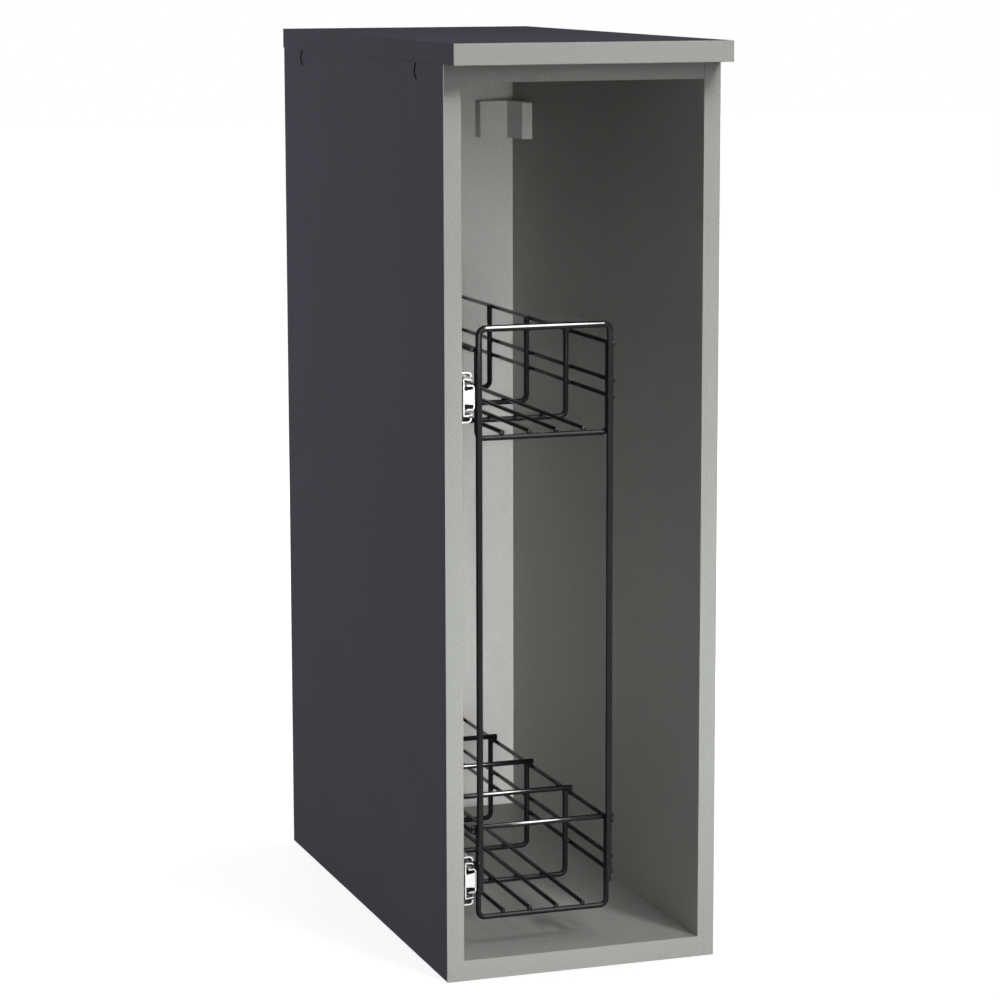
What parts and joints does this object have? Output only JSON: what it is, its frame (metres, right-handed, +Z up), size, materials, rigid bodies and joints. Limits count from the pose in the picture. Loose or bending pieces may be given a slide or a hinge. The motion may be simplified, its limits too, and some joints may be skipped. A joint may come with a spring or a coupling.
{
  "type": "spice cabinet",
  "caption": "Narrow open kitchen base cabinet with an overhanging top and a two-tier black wire pull-out on ball slides at its left side.",
  "frame": {"origin": "on the floor, under the middle of the whole cabinet with its top and hooks", "axes": "+Z up, the open front faces -Y, +X to the right seen from the front"},
  "size_m": [0.262, 0.561, 0.85],
  "materials": {
    "dark_board": "dark grey melamine, fine grain",
    "light_board": "light grey melamine",
    "light_band": "light grey edge band, satin",
    "back_board": "thin fibreboard, light face",
    "dark_cap": "matte",
    "beech": "turned, raw",
    "zinc_steel": "bright zinc",
    "fitting_zinc": "die-cast",
    "ball_steel": "polished",
    "cover_plastic": "satin grey",
    "black_wire": "gloss powder coat"
  },
  "bodies": {
    "cabinet": {"left_side": "dark_board", "right_side": "dark_board", "bottom_panel": "light_board", "top_panel": "dark_board", "front_rail": "light_board", "rear_rail": "light_board", "back_panel": "back_board", "side_edge_bands": "light_band", "bottom_edge_band": "light_band", "top_edge_band": "light_band", "rail_edge_band": "light_band", "rail_screws": "zinc_steel", "rail_screw_caps": "dark_cap", "rail_dowels": "beech", "bottom_cams": "fitting_zinc", "bottom_cam_bolts": "zinc_steel", "bottom_dowels": "beech", "top_screws": "zinc_steel", "back_screws": "zinc_steel", "hanger_covers": "cover_plastic", "hanger_brackets": "zinc_steel", "hanger_screws": "zinc_steel", "upper_slide_outer": "zinc_steel", "lower_slide_outer": "zinc_steel", "slide_screws": "zinc_steel"},
    "basket": {"tall_frame": "black_wire", "upper_hoops": "black_wire", "upper_side_wires": "black_wire", "upper_floor_wires": "black_wire", "lower_hoops": "black_wire", "lower_side_wires": "black_wire", "lower_floor_wires": "black_wire", "lower_cross_bars": "black_wire", "clamp_plates": "black_wire", "clamp_screws": "zinc_steel", "clamp_nuts": "zinc_steel", "upper_slide_inner": "zinc_steel", "lower_slide_inner": "zinc_steel"},
    "upper_middle": {"upper_slide_middle": "zinc_steel"},
    "upper_outer_cage_set": {"upper_outer_cage": "zinc_steel", "upper_outer_balls": "ball_steel"},
    "upper_inner_cage_set": {"upper_inner_cage": "zinc_steel", "upper_inner_balls": "ball_steel"},
    "lower_middle": {"lower_slide_middle": "zinc_steel"},
    "lower_outer_cage_set": {"lower_outer_cage": "zinc_steel", "lower_outer_balls": "ball_steel"},
    "lower_inner_cage_set": {"lower_inner_cage": "zinc_steel", "lower_inner_balls": "ball_steel"},
    "hook_left_set": {"hook_left": "zinc_steel"},
    "adjust_screw_left_set": {"adjust_screw_left": "zinc_steel"},
    "hook_right_set": {"hook_right": "zinc_steel"},
    "adjust_screw_right_set": {"adjust_screw_right": "zinc_steel"}
  },
  "joints": [
    {"name": "basket_pullout", "type": "slide", "parent": "cabinet", "child": "basket", "axis": [0, -1, 0], "range_m": [0, 0.44]},
    {"name": "upper_middle_slide", "type": "slide", "parent": "cabinet", "child": "upper_middle", "axis": [0, -1, 0], "range_m": [0, 0.22]},
    {"name": "upper_outer_cage_slide", "type": "slide", "parent": "cabinet", "child": "upper_outer_cage_set", "axis": [0, -1, 0], "range_m": [0, 0.11]},
    {"name": "upper_inner_cage_slide", "type": "slide", "parent": "cabinet", "child": "upper_inner_cage_set", "axis": [0, -1, 0], "range_m": [0, 0.33]},
    {"name": "lower_middle_slide", "type": "slide", "parent": "cabinet", "child": "lower_middle", "axis": [0, -1, 0], "range_m": [0, 0.22]},
    {"name": "lower_outer_cage_slide", "type": "slide", "parent": "cabinet", "child": "lower_outer_cage_set", "axis": [0, -1, 0], "range_m": [0, 0.11]},
    {"name": "lower_inner_cage_slide", "type": "slide", "parent": "cabinet", "child": "lower_inner_cage_set", "axis": [0, -1, 0], "range_m": [0, 0.33]},
    {"name": "hook_left_depth", "type": "slide", "parent": "cabinet", "child": "hook_left_set", "axis": [0, 1, 0], "range_m": [-0.0025, 0.005]},
    {"name": "adjust_screw_left_turn", "type": "hinge", "parent": "cabinet", "child": "adjust_screw_left_set", "pos_m": [-0.11, 0.2135, 0.7495], "axis": [0, 1, 0], "range_deg": [-1126, 2251]},
    {"name": "hook_right_depth", "type": "slide", "parent": "cabinet", "child": "hook_right_set", "axis": [0, 1, 0], "range_m": [-0.0025, 0.005]},
    {"name": "adjust_screw_right_turn", "type": "hinge", "parent": "cabinet", "child": "adjust_screw_right_set", "pos_m": [0.11, 0.2135, 0.7495], "axis": [0, 1, 0], "range_deg": [-1126, 2251]}
  ],
  "couplings": [
    {"joint": "upper_middle_slide", "follows": "basket_pullout", "ratio": 0.5},
    {"joint": "upper_outer_cage_slide", "follows": "basket_pullout", "ratio": 0.25},
    {"joint": "upper_inner_cage_slide", "follows": "basket_pullout", "ratio": 0.75},
    {"joint": "lower_middle_slide", "follows": "basket_pullout", "ratio": 0.5},
    {"joint": "lower_outer_cage_slide", "follows": "basket_pullout", "ratio": 0.25},
    {"joint": "lower_inner_cage_slide", "follows": "basket_pullout", "ratio": 0.75},
    {"joint": "adjust_screw_left_turn", "follows": "hook_left_depth", "rad_per_m": 7854},
    {"joint": "adjust_screw_right_turn", "follows": "hook_right_depth", "rad_per_m": 7854}
  ]
}
